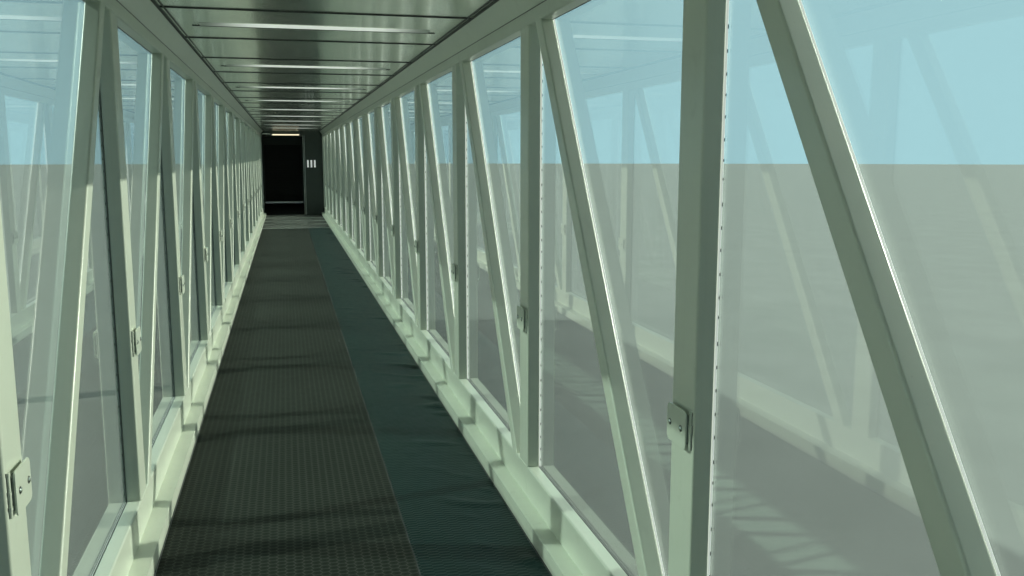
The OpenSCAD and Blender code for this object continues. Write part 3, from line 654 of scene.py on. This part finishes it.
class JETBRIDGE_OT_windows(bpy.types.Operator):
    """Add the beads, strips and gaskets of the windows, and the caps outside"""

    bl_idname = "jet_bridge.windows"
    bl_label = "Window gaskets and caps"

    def execute(self, context):
        start, end = NEAR + POST, NEAR + PITCH
        beads, gap_shade_lines, painted_glow_strips, dark, notches, gaskets, caps, screws = fresh(8)
        gap_in, gap_out = TUBE_OUT + 0.0005, GLASS_IN - 0.0003
        # A pale bead lies in the gap over the sill and under the head. The dark lines beside it are painted
        # shade in the gap, and are wider on the right.
        bead_in, overlap = gap_in + 0.0008, 0.03
        for side, inner, outer in (("right", 0.0040, 0.0030), ("left", 0.0012, 0.0014)):
            bead, line = fresh(2)
            for z, up in ((CHORD_TOP, -1), (HEAD, 1)):
                for bm, x0, x1, deep in ((line, TUBE_OUT - inner, bead_in, 0.0003),
                                         (bead, bead_in, gap_out - outer, 0.0015),
                                         (line, gap_out - outer, gap_out, 0.002)):
                    low, high = sorted((z + up * deep, z + up * 0.022))
                    add_block(bm, (x0, start - overlap, low), (x1, end + overlap, high), 0.0008, 1, 1)
            join(bead, beads, side)
            join(line, gap_shade_lines, side)
        # Beside the posts a strip fills the gap. It has short notches along the glass. On the right the strip
        # glows, which is painted light for the sun shining through it; on the left the same strip is dark
        # grey, which is painted shade.
        strip, notch = 0.011, 0.003
        for y, edge in ((start - 0.012, start - notch), (end + 0.001, end)):
            for bm in (painted_glow_strips, dark):
                add_block(bm, (gap_in, y, CHORD_TOP - 0.02), (gap_out, y + strip, HEAD + 0.02), 0.001, 2, 1)
            z = CHORD_TOP + 0.03
            while z < HEAD - 0.03:
                swing = noise.noise(Vector((y, z * 9.0, 2.5)))
                add_block(notches, (gap_out - 0.0022, edge, z),
                          (gap_out + 0.0001, edge + notch, z + 0.009 + 0.005 * swing))
                z += 0.064 + 0.028 * swing
        # On the right a glowing strip, which is painted light, lies behind each diagonal too
        foot, lean, _ = diagonal_shape()
        add_block(painted_glow_strips, (gap_in, foot + 0.001, CHORD_TOP - 0.005), (gap_out, foot + 0.013, HEAD + 0.005),
                  0.0008, 2, 1, lean)
        # Outside, a wedge strip lies around the pane
        near_mullion = NEAR + POST / 2
        y0, y1 = near_mullion + MULLION / 2, near_mullion + PITCH - MULLION / 2
        z0, z1 = CHORD_TOP - SILL_DROP, HEAD + HEAD_RISE
        level, upright = 0.009, 0.004
        for low, high, axis in (((y0, z0), (y1, z0 + level), 1), ((y0, z1 - level), (y1, z1), 1),
                                ((y0, z0), (y0 + upright, z1), 2), ((y1 - upright, z0), (y1, z1), 2)):
            add_block(gaskets, (GLASS_OUT, *low), (GLASS_OUT + 0.006, *high), 0.0015, axis, 2)
        for bm in (beads, gap_shade_lines, painted_glow_strips, dark, notches, gaskets):
            repeat(bm, bay_steps(BAYS))
        finish_piece("window_beads", beads, "White sealant")
        # The right strips glow: painted light.
        finish_piece("right_side_strips", painted_glow_strips, "Painted backlight strip")
        # The left strips are dark grey: painted shade.
        finish_piece("left_side_strips", dark, "Painted shade grey", side="left")
        # The gap lines are painted shade.
        finish_piece("window_gap_shade_lines", gap_shade_lines, "Gasket rubber and painted shade", smooth=False)
        finish_piece("side_strip_notches", notches, "Gasket rubber and painted shade", side="both", smooth=False)
        finish_piece("window_outer_gaskets", gaskets, "Gasket rubber and painted shade", side="both")
        # Outside, a cap covers every joint between two windows, and two ledges run below them
        half, cap_face = 0.014, GLASS_OUT + 0.0135
        add_block(caps, (GLASS_OUT + 0.009, near_mullion - half, z0), (cap_face, near_mullion + half, z1),
                  0.003, 2, 2)
        for index in range(7):
            add_screw(screws, (cap_face, near_mullion, z0 + 0.1 + 0.345 * index), 0.0045, "X", 8)
        for bm in (caps, screws):
            repeat(bm, bay_steps(BAYS + 1))
        for low, high, out, radius in ((0.05, 0.09, 0.016, 0.005), (-0.004, 0.012, 0.010, 0.003)):
            add_block(caps, (FRAME_OUT - 0.002, NEAR, CHORD_FOOT + low),
                      (FRAME_OUT + out, DOORWAY, CHORD_FOOT + high), radius, 1, 2)
        finish_piece("window_caps", caps, "Window frame paint", side="both")
        finish_piece("window_cap_screws", screws, "Zinc", side="both")
        return {"FINISHED"}


class JETBRIDGE_OT_brackets(bpy.types.Operator):
    """Make the small plates on the posts, with their packers, screws and welds"""

    bl_idname = "jet_bridge.brackets"
    bl_label = "Handrail brackets"

    def execute(self, context):
        size = sizes()
        wide, tall, head = size.bracket_width, size.bracket_height, size.screw_radius
        thick, parts = 0.005, 12
        face = TUBE_IN - 0.013
        whole = fresh(5)
        for side, seed, level in (("right", 1, MAT + 0.957), ("left", -1, MAT + 0.933)):
            low, high = level - tall / 2, level + tall / 2
            for index in range(BAYS):
                near = post_y(index) - POST / 2 + 0.016
                middle = near + wide / 2
                plate, screw, bead, line, packer = single = fresh(5)
                bmesh.ops.create_cube(plate, size=1, matrix=Matrix.Translation(
                    (face - thick / 2, middle, level)) @ Matrix.Diagonal((thick, wide, tall, 1)))
                # The far corners are cut off, the near ones are round, and then the rims are eased
                for far, radius, segments, profile in ((True, 0.013, 2, 0.35), (False, 0.012, 4, 0.5)):
                    bevel(plate, [e for e in plate.edges if abs(e.verts[0].co.x - e.verts[1].co.x) > 0.001
                                  and (e.verts[0].co.y > middle) == far], radius, segments, profile)
                bevel(plate, [e for e in plate.edges if abs(e.verts[0].co.x - e.verts[1].co.x) < 1e-6],
                      0.0012, 2)
                # The packer is dark grey: painted shade under the plate.
                add_block(packer, (face, near + 0.003, low + 0.015),
                          (TUBE_IN, near + wide - 0.012, high - 0.015), 0.002, 0, 1)
                for y in (near + 0.030, near + wide - 0.022):
                    add_dome(screw, (face - thick, y, level), head, head * 0.6)
                    # A thin dark disc round each screw head is painted shade.
                    add_round(line, (face - 0.0052, y, level), head * 1.22, 0.0008, "-X", 16)
                # The weld is a row of beads of uneven width, with a dark line beside it that is a painted
                # shadow of the weld's edge
                for part in range(parts):
                    z, wave = low + part * tall / parts, noise.noise(Vector((index * 3.1, part * 0.8, seed)))
                    y, top = near - 0.0075 - 0.0045 * wave, z + tall / parts
                    add_block(bead, (TUBE_IN - 0.0075 - 0.002 * wave, y, z),
                              (TUBE_IN + 0.002, near + 0.0045, top - 0.0004), 0.003, 2, 2)
                    add_block(line, (TUBE_IN - 0.0010, y - 0.0014, z), (TUBE_IN + 0.001, y + 0.001, top))
                for source, target in zip(single, whole):
                    join(source, target, side)
        plates, screws, welds, lines, packers = whole
        finish_piece("bracket_plates", plates, "Cream paint", ["handrail_brackets"])
        finish_piece("bracket_welds", welds, "Cream paint")
        finish_piece("bracket_shadow_lines", lines, "Gasket rubber and painted shade", smooth=False)
        # The packers' dark grey is painted shade.
        finish_piece("bracket_packers", packers, "Painted shade grey")
        finish_piece("bracket_screws", screws, "Dark metal")
        return {"FINISHED"}


def pucker(x, y):
    """Height of the puckers of the narrow mat, as a share of the highest one. They are slanted creases,
    most of them near the kerb, and come in some stretches of the mat only."""
    edge = max(0.0, min(1.0, (x - SEAM) / (KERB - SEAM)))
    slant = y + 0.55 * (x - SEAM)
    swell = noise.noise(Vector((x * 2.2, slant * 1.3, 4.0)))
    crease = noise.noise(Vector((x * 3.0, slant * 7.0, 9.0)))
    sharp = max(0.0, crease - 0.12) * 2.6
    where = max(0.0, min(1.0, (swell + 0.12) * 3.0))
    hem = max(0.0, min(1.0, (KERB - x) / 0.02))
    return min(1.0, sharp * where * (0.15 + 0.85 * edge ** 1.5)) * hem * min(1.0, edge * 12)


class JETBRIDGE_OT_floor(bpy.types.Operator):
    """Lay the narrow mat with its puckers, the seam, the kerb seals and the strips of the end plate"""

    bl_idname = "jet_bridge.floor"
    bl_label = "Floor"

    def execute(self, context):
        height = sizes().pucker_height
        bm = bmesh.new()
        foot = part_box("narrow_floor_mat")[0].z
        place = Matrix.Translation(((SEAM + KERB) / 2, (NEAR + MAT_END) / 2, MAT)) @ Matrix.Diagonal(
            ((KERB - SEAM), (MAT_END - NEAR), 1, 1))
        bmesh.ops.create_grid(bm, x_segments=28, y_segments=1300, size=0.5, matrix=place)
        top = list(bm.verts)
        rims = [edge for edge in bm.edges if edge.is_boundary]
        skirt = bmesh.ops.extrude_edge_only(bm, edges=rims)["geom"]
        bmesh.ops.translate(bm, vec=(0, 0, foot - MAT), verts=only_verts(skirt))
        bmesh.ops.holes_fill(
            bm, edges=[item for item in skirt if isinstance(item, bmesh.types.BMEdge) and item.is_boundary])
        for vert in top:
            vert.co.z += height * pucker(vert.co.x, vert.co.y)
        finish_piece("narrow_mat", bm, "Ribbed rubber", ["narrow_floor_mat"])

        seam, seals, strips = fresh(3)
        sunk = MAT - 0.004
        add_block(seam, (SEAM - 0.002, NEAR, sunk), (SEAM + 0.003, MAT_END, MAT + 0.0008), 0.0004, 1, 1)
        finish_piece("mat_seam", seam, "Ramp rubber")
        add_block(seals, (KERB - 0.005, NEAR, sunk), (KERB + 0.001, DOORWAY, MAT + 0.006), 0.002, 1, 2)
        finish_piece("kerb_seals", seals, "Gasket rubber and painted shade", side="both")
        count, side = 4, KERB - 0.004
        for index in range(count):
            y = MAT_END + (DOORWAY - MAT_END) / count * index
            add_block(strips, (-side, y - 0.025, MAT - 0.002), (side, y + 0.035, MAT + 0.004), 0.002, 0, 2)
        add_block(strips, (DOOR_LEFT, DOORWAY - 0.03, MAT - 0.002), (DOOR_RIGHT, DOORWAY + 0.03, MAT + 0.008),
                  0.004, 0, 2)
        finish_piece("end_plate_strips", strips, "Pale metal")
        return {"FINISHED"}


class JETBRIDGE_OT_ceiling(bpy.types.Operator):
    """Add the covers, lenses and edges of the ceiling lights and the seals of the ceiling, whose dark lines
    along the trims are partly painted shade
    """

    bl_idname = "jet_bridge.ceiling"
    bl_label = "Ceiling"

    def execute(self, context):
        lenses, covers, edges, seals = fresh(4)
        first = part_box("ceiling_lights")[0].y + 0.135
        low, high = CEILING - 0.004, CEILING + 0.001
        for bm, half, y0, y1, z0, z1, radius, segments in (
                (covers, 0.672, -0.122, 0.122, CEILING + 0.0004, CEILING + 0.003, 0.0, 2),
                (lenses, 0.66, -0.072, -0.032, low, high, 0.003, 2),
                (lenses, 0.66, -0.010, 0.028, low, high, 0.003, 2),
                (edges, 0.705, 0.044, 0.054, low, high, 0.001, 1)):
            add_block(bm, (-half, first + y0, z0), (half, first + y1, z1), radius, 0, segments)
        for bm in (lenses, covers, edges):
            repeat(bm, [(0, LAMP_PITCH * index, 0) for index in range(1, LAMP_COUNT)])
        finish_piece("light_lenses", lenses, "Lens glow")
        finish_piece("light_covers", covers, "Ceiling metal", smooth=False)
        finish_piece("light_edges", edges, "Gasket rubber and painted shade")
        # The dark strips along each trim edge are partly seals and partly painted shade of the gap between
        # trim and ceiling.
        for x, wide in ((TRIM_IN - 0.016, 0.017), (TRIM_IN - 0.036, 0.006)):
            add_block(seals, (x, NEAR, CEILING - 0.006), (x + wide, DOORWAY, CEILING), 0.002, 1, 2)
        add_block(seals, (TUBE_IN - 0.0015, NEAR, TRIM_FOOT - 0.0045),
                  (TUBE_IN + 0.001, DOORWAY, TRIM_FOOT - 0.0015))
        to_side(seals, "both")
        y = NEAR + FIRST_JOINT
        while y < DOORWAY - 0.1:
            add_block(seals, (-TRIM_IN, y - 0.008, CEILING - 0.0055), (TRIM_IN, y + 0.008, CEILING + 0.001),
                      0.002, 0, 2)
            y += PANEL
        finish_piece("ceiling_seals_and_shade_lines", seals, "Gasket rubber and painted shade")
        return {"FINISHED"}


class JETBRIDGE_OT_doorway(bpy.types.Operator):
    """Add the lamp, slits, edge strips, shutter slats, ramp ribs and lobby lining at the far end"""

    bl_idname = "jet_bridge.doorway"
    bl_label = "Doorway and lobby"

    def execute(self, context):
        lens, strips, slits, slats, foot_rail, ribs, lining = fresh(7)
        low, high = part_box("doorway_lamp")
        add_block(lens, (low.x + 0.02, low.y + 0.004, low.z + 0.004),
                  (high.x - 0.02, high.y - 0.012, high.z - 0.006), 0.012, 0, 4)
        finish_piece("lamp_lens", lens, "Warm glow", ["doorway_lamp"])
        # Ends and back of the lamp, a strip beside it, two on the door post and one at the left jamb
        for x in (low.x, high.x - 0.022):
            add_block(strips, (x, low.y, low.z), (x + 0.022, high.y, high.z), 0.004, None, 2)
        add_block(strips, (low.x, high.y - 0.014, low.z), (high.x, high.y, high.z), 0.002, 0, 1)
        half = 0.84
        add_block(strips, (-half, DOORWAY - 0.022, DOOR_HEAD + 0.012),
                  (low.x - 0.03, DOORWAY, DOOR_HEAD + 0.036), 0.004, 0, 2)
        for x in (DOOR_RIGHT + 0.008, DOOR_RIGHT + 0.046):
            add_block(strips, (x, DOORWAY - 0.006, MAT + 0.01), (x + 0.008, DOORWAY, DOOR_HEAD - 0.01),
                      0.002, 2, 2)
        add_block(strips, (DOOR_LEFT - 0.016, DOORWAY - 0.004, MAT),
                  (DOOR_LEFT - 0.004, DOORWAY + 0.05, DOOR_HEAD), 0.003, 2, 2)
        finish_piece("doorway_strips", strips, "Pale metal")
        slit_low, slit_high = MAT + 1.4145, MAT + 1.6295
        for index in range(3):
            x = DOOR_RIGHT + 0.138 + 0.100 * index
            add_block(slits, (x - 0.024, DOORWAY + 0.030, slit_low), (x + 0.024, DOORWAY + 0.040, slit_high),
                      0.002, 1, 1)
        finish_piece("slit_lenses", slits, "Slit glow")
        # Roller shutter with curved slats and a pale foot rail
        low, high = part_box("shutter_curtain")
        pitch = sizes().slat_pitch
        z = rail = low.z + 0.045
        while z < high.z - 0.001:
            end = min(z + pitch, high.z)
            add_block(slats, (low.x, low.y + 0.002, z + 0.002), (high.x, high.y - 0.002, end - 0.002),
                      0.006, 0, 3)
            z = end
        add_block(slats, (low.x, low.y + 0.006, rail), (high.x, high.y - 0.006, high.z))
        finish_piece("shutter_slats", slats, "Shutter metal", ["shutter_curtain"])
        add_block(foot_rail, (low.x + 0.002, low.y, low.z + 0.002), (high.x - 0.002, high.y, rail),
                  0.004, 0, 2)
        finish_piece("shutter_foot_rail", foot_rail, "Pale metal")
        # Ribs across the ramp
        low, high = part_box("lobby_ramp")
        start, end = DOORWAY + 0.06, high.y - 0.3
        count = 14
        for index in range(count):
            share = (index + 0.7) / count
            y, z = start + share * (end - start), MAT + share * (high.z - MAT)
            add_block(ribs, (-half, y - 0.012, z - 0.004), (half, y + 0.012, z + 0.006), 0.002, 0, 1)
        finish_piece("ramp_ribs", ribs, "Ramp rubber")
        # Dark lining panels on the walls and under the roof of the lobby
        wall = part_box("right_lobby_wall")[0].x
        panel, sheet = 0.6, 0.006
        y = DOORWAY + 0.062
        while y < BACK_WALL - 0.1:
            end = min(y + panel, BACK_WALL - 0.008)
            for x in (-wall, wall - sheet):
                add_block(lining, (x, y, MAT + 0.02), (x + sheet, end - 0.006, CHORD_HEAD - 0.008),
                          0.001, 2, 1)
            add_block(lining, (-wall + 0.008, y, CHORD_HEAD - sheet), (wall - 0.008, end - 0.006, CHORD_HEAD),
                      0.001, 0, 1)
            y = end
        add_block(lining, (DOOR_RIGHT + 0.075, BACK_WALL - sheet, high.z),
                  (wall - 0.008, BACK_WALL, CHORD_HEAD - 0.008), 0.001, 2, 1)
        finish_piece("lobby_lining", lining, "Dark green paint")
        return {"FINISHED"}


class JETBRIDGE_OT_roof(bpy.types.Operator):
    """Cover the roof with folded sheets and dress the lobby walls outside"""

    bl_idname = "jet_bridge.roof"
    bl_label = "Roof and outer walls"

    def execute(self, context):
        sheets, strips, screws = fresh(3)
        low, high = ROOF_LOW, ROOF_HIGH
        skin = high.z - 0.014
        add_block(sheets, (low.x, low.y, high.z - 0.040), (high.x, high.y, skin))
        for x0, x1 in ((low.x, -FRAME_OUT), (FRAME_OUT, high.x)):
            add_block(sheets, (x0, low.y, low.z), (x1, high.y, skin + 0.004), 0.004, 1, 2)
        # A standing seam on a wider batten at every joint of the sheets
        count = int((high.y - low.y) / sizes().roof_seam_pitch)
        left, right = low.x + 0.03, high.x - 0.03
        for index in range(1, count + 1):
            y = low.y + index * (high.y - low.y) / (count + 1)
            for half, top, radius, segments in ((0.011, high.z, 0.004, 2), (0.03, skin + 0.003, 0.002, 1)):
                add_block(sheets, (left, y - half, skin - 0.004), (right, y + half, top), radius, 0, segments)
        finish_piece("roof_sheets", sheets, "Roof paint", ["roof_sheet"])
        # Cover strips of the lobby walls
        count, inset, half = 5, 0.03, 0.028
        for index in range(count):
            y = DOORWAY + inset + index * (BACK - DOORWAY - 2 * inset) / (count - 1)
            add_block(strips, (FRAME_OUT - 0.002, y - half, CHORD_FOOT + 0.02),
                      (FRAME_OUT + 0.008, y + half, low.z - 0.006), 0.003, 2, 2)
            for step in range(7):
                add_screw(screws, (FRAME_OUT + 0.008, y, CHORD_FOOT + 0.2 + 0.355 * step), 0.006, "X", 10)
        add_block(strips, (FRAME_OUT - 0.002, DOORWAY, CHORD_FOOT - 0.004),
                  (FRAME_OUT + 0.010, BACK, CHORD_FOOT + 0.03), 0.003, 1, 2)
        finish_piece("lobby_wall_strips", strips, "Window frame paint", side="both")
        finish_piece("lobby_wall_screws", screws, "Zinc", side="both")
        return {"FINISHED"}


class JETBRIDGE_OT_underside(bpy.types.Operator):
    """Add the seams of the soffit and the bolted splices of the edge beams"""

    bl_idname = "jet_bridge.underside"
    bl_label = "Underside"

    def execute(self, context):
        seams, rivets, splices, bolts = fresh(4)
        y = NEAR + PANEL
        while y < BACK - 0.3:
            add_block(seams, (-TUBE_IN, y - 0.025, SOFFIT - 0.003), (TUBE_IN, y + 0.025, SOFFIT + 0.001),
                      0.001, 0, 1)
            for index in range(9):
                add_screw(rivets, (-0.8 + 0.2 * index, y, SOFFIT - 0.003), 0.0055, "-Z", 8)
            y += PANEL
        finish_piece("soffit_seams", seams, "Window frame paint")
        finish_piece("soffit_rivets", rivets, "Zinc")
        middle, half, plate = (EDGE_FOOT + CHORD_FOOT) / 2, 0.078, FRAME_OUT + 0.010
        for bay in (1, 5, 10, 14):
            y = post_y(bay) + PITCH / 2
            add_block(splices, (FRAME_OUT - 0.002, y - 0.17, middle - half), (plate, y + 0.17, middle + half),
                      0.003, 0, 2)
            for across in (-0.13, -0.05, 0.05, 0.13):
                for up in (-0.045, 0.045):
                    add_nut(bolts, (plate, y + across, middle + up), 0.013, "X")
        finish_piece("edge_beam_splices", splices, "Window frame paint", side="both")
        finish_piece("edge_beam_bolts", bolts, "Zinc", side="both")
        return {"FINISHED"}


class JETBRIDGE_OT_trestles(bpy.types.Operator):
    """Make the legs with rounded corners, plates, gussets, welds and anchor bolts, and the head plates"""

    bl_idname = "jet_bridge.trestles"
    bl_label = "Trestles"

    def execute(self, context):
        anchors, plates, bolts = fresh(3)
        half, base, weld = 0.125, 0.025, 0.006
        reach, rise = 0.238, 0.15
        for name in ("near_left_leg", "near_right_leg", "far_left_leg", "far_right_leg"):
            low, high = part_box(name)
            x, y = (low.x + high.x) / 2, (low.y + high.y) / 2
            bm = bmesh.new()
            add_block(bm, (low.x, low.y, low.z), (high.x, high.y, base), 0.003, None, 2)
            head = high.z - base
            for wide, z0, z1, radius, along, segments in (
                    (half, base - 0.002, head + 0.002, 0.022, 2, 5),
                    (half, head, high.z, 0.002, None, 1),
                    (half + weld, base - weld, base + weld, 0.024, 2, 5),
                    (half + weld, head - weld, head + weld, 0.024, 2, 5)):
                add_block(bm, (x - wide, y - wide, z0), (x + wide, y + wide, z1), radius, along, segments)
            # A gusset with a slanted top stands on the base plate at each face of the leg
            for turn in range(4):
                part = bmesh.new()
                add_block(part, (half - 0.004, -0.006, base), (reach, 0.006, base + rise))
                bmesh.ops.bisect_plane(part, geom=everything(part), plane_co=(reach, 0, base + 0.012),
                                       plane_no=(rise - 0.012, 0, reach - half), clear_outer=True)
                bmesh.ops.holes_fill(part, edges=[e for e in part.edges if e.is_boundary])
                bmesh.ops.transform(part, verts=part.verts, matrix=Matrix.Translation((x, y, 0))
                                    @ Matrix.Rotation(turn * math.pi / 2, 4, "Z"))
                join(part, bm)
            finish_piece(f"{name}_steel", bm, "Steel paint", [name])
            for across in (-0.19, 0.19):
                for along in (-0.19, 0.19):
                    add_nut(anchors, (x + across, y + along, base), 0.018, "Z")
        finish_piece("anchor_bolts", anchors, "Zinc")
        # Plates and bolts where the tunnel sits on the head beams
        for name in ("near_trestle_beams", "far_trestle_beams"):
            low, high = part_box(name)
            middle, top = (low.y + high.y) / 2, high.z
            add_block(plates, (high.x - 0.012, low.y - 0.008, top - 0.235),
                      (high.x, high.y + 0.008, top - 0.005), 0.002, 0, 1)
            for y, y0, y1 in ((middle - 0.19, 0.038, 0.07), (middle + 0.19, -0.07, -0.038)):
                add_block(plates, (0.885, y - 0.05, top - 0.016), (0.995, y + 0.05, top), 0.002, None, 1)
                add_block(plates, (0.93, y + y0, top - 0.09), (0.95, y + y1, top - 0.014), 0.002, None, 1)
                for x in (0.912, 0.968):
                    add_nut(bolts, (x, y, top - 0.016), 0.012, "-Z")
        finish_piece("head_beam_plates", plates, "Steel paint", side="both")
        finish_piece("head_beam_bolts", bolts, "Zinc", side="both")
        return {"FINISHED"}


def add_stage_floor():
    """A pale round floor that reaches the horizon. Light that bounces off it is darker and bluer."""
    bm = bmesh.new()
    bmesh.ops.create_circle(bm, cap_ends=True, segments=96, radius=700)
    mesh = bpy.data.meshes.new("stage_floor")
    bm.to_mesh(mesh)
    bm.free()
    tree, shader, _ = start_material("Stage floor", (0.40, 0.41, 0.39), Roughness=0.8, Specular_IOR_Level=0.2)
    tone = ramp(tree, noise_at(tree, object_coords(tree), 0.4, 5, 0.6), 0.3, 0.7)
    pale = mix_colour(tree, tone, (0.39, 0.395, 0.375, 1), (0.42, 0.425, 0.405, 1))
    bounced = node(tree, "LightPath").outputs["Is Diffuse Ray"]
    tree.links.new(mix_colour(tree, bounced, pale, (0.15, 0.17, 0.18, 1)), shader.inputs["Base Color"])
    mesh.materials.append(bpy.data.materials["Stage floor"])
    floor = bpy.data.objects.new("stage_floor", mesh)
    bpy.context.scene.collection.objects.link(floor)


def soft_sky():
    """An even backdrop for what is seen or mirrored. Its light is softer from the near end."""
    world = bpy.data.worlds.new("Soft sky")
    world.use_nodes = True
    tree = world.node_tree
    tree.nodes.clear()
    rays = node(tree, "LightPath").outputs
    seen = math_node(tree, "MAXIMUM", rays["Is Camera Ray"],
                     math_node(tree, "MAXIMUM", rays["Is Glossy Ray"], rays["Is Transmission Ray"]))
    direction = node(tree, "SeparateXYZ", {0: node(tree, "TexCoord").outputs["Generated"]}).outputs[1]
    tone = mix_colour(tree, ramp(tree, direction, -0.5, 0.4), (0.52, 0.80, 1.0, 1), (0.86, 0.98, 1.0, 1))
    strength = ramp(tree, direction, -0.8, 0.9, 0.10, 0.72)
    light = node(tree, "Background", {"Color": tone, "Strength": strength})
    backdrop = node(tree, "Background", {"Color": (0.56, 0.86, 1.0, 1), "Strength": 0.92})
    mixed = node(tree, "MixShader", {0: seen, 1: light.outputs[0], 2: backdrop.outputs[0]})
    node(tree, "OutputWorld", {"Surface": mixed.outputs[0]})
    return world


def add_sun(name, energy, spread, colour, azimuth, height):
    """A sun lamp. Its azimuth turns from +Y toward +X, and its height is above the horizon, in degrees."""
    data = bpy.data.lights.new(name, "SUN")
    data.energy = energy
    data.angle = math.radians(spread)
    data.color = colour
    lamp = bpy.data.objects.new(name, data)
    turn, rise = math.radians(azimuth), math.radians(height)
    level = math.cos(rise)
    toward = Vector((math.sin(turn) * level, math.cos(turn) * level, math.sin(rise)))
    lamp.rotation_euler = toward.to_track_quat("Z", "Y").to_euler()
    bpy.context.scene.collection.objects.link(lamp)


def add_camera():
    """The photograph's viewpoint: left of the middle, at eye height near the open end."""
    left, inside, eye_height = 0.214, 1.35, 1.73
    tilt, turn = 81.66, -14.09
    lens = bpy.data.cameras.new("Camera")
    lens.lens = 31.49
    lens.sensor_width = 36
    lens.clip_start = 0.05
    lens.clip_end = 2000
    camera = bpy.data.objects.new("Camera", lens)
    camera.location = (-left, NEAR + inside, MAT + eye_height)
    camera.rotation_euler = (math.radians(tilt), 0, math.radians(turn))
    bpy.context.scene.collection.objects.link(camera)
    bpy.context.scene.camera = camera


class JETBRIDGE_OT_stage(bpy.types.Operator):
    """Set the pale floor, the soft sky, the two lamps and the camera"""

    bl_idname = "jet_bridge.stage"
    bl_label = "Stage"

    def execute(self, context):
        add_stage_floor()
        context.scene.world = soft_sky()
        add_sun("Key light", 3.4, 0.5, (1.0, 0.97, 0.88), 81.5, 20.5)
        add_sun("Fill light", 1.9, 0.9, (0.88, 1.0, 0.92), -72.8, 36)
        add_camera()
        context.scene.view_settings.view_transform = "Standard"
        return {"FINISHED"}


OPERATORS = [
    JETBRIDGE_OT_finishes, JETBRIDGE_OT_truss, JETBRIDGE_OT_windows, JETBRIDGE_OT_brackets,
    JETBRIDGE_OT_floor, JETBRIDGE_OT_ceiling, JETBRIDGE_OT_doorway, JETBRIDGE_OT_roof,
    JETBRIDGE_OT_underside, JETBRIDGE_OT_trestles, JETBRIDGE_OT_stage,
]


class JETBRIDGE_PT_panel(bpy.types.Panel):
    """Lists the steps that build the tunnel's finishes and small parts"""

    bl_idname = "JETBRIDGE_PT_panel"
    bl_label = "Jet bridge"
    bl_space_type = "VIEW_3D"
    bl_region_type = "UI"
    bl_category = "Jet bridge"

    def draw(self, context):
        for operator in OPERATORS:
            self.layout.operator(operator.bl_idname)
        for group in (context.scene.jet_bridge_sizes, context.scene.jet_bridge_colours):
            for name in group.bl_rna.properties.keys():
                if name not in ("rna_type", "name"):
                    self.layout.prop(group, name)


CLASSES = [JetBridgeSizes, JetBridgeColours, *OPERATORS, JETBRIDGE_PT_panel]


def register():
    for item in CLASSES:
        bpy.utils.register_class(item)
    bpy.types.Scene.jet_bridge_sizes = bpy.props.PointerProperty(type=JetBridgeSizes)
    bpy.types.Scene.jet_bridge_colours = bpy.props.PointerProperty(type=JetBridgeColours)


def unregister():
    del bpy.types.Scene.jet_bridge_colours
    del bpy.types.Scene.jet_bridge_sizes
    for item in reversed(CLASSES):
        bpy.utils.unregister_class(item)


def main():
    register()
    for operator in OPERATORS:
        group, name = operator.bl_idname.split(".")
        getattr(getattr(bpy.ops, group), name)()


if __name__ == "__main__":
    main()
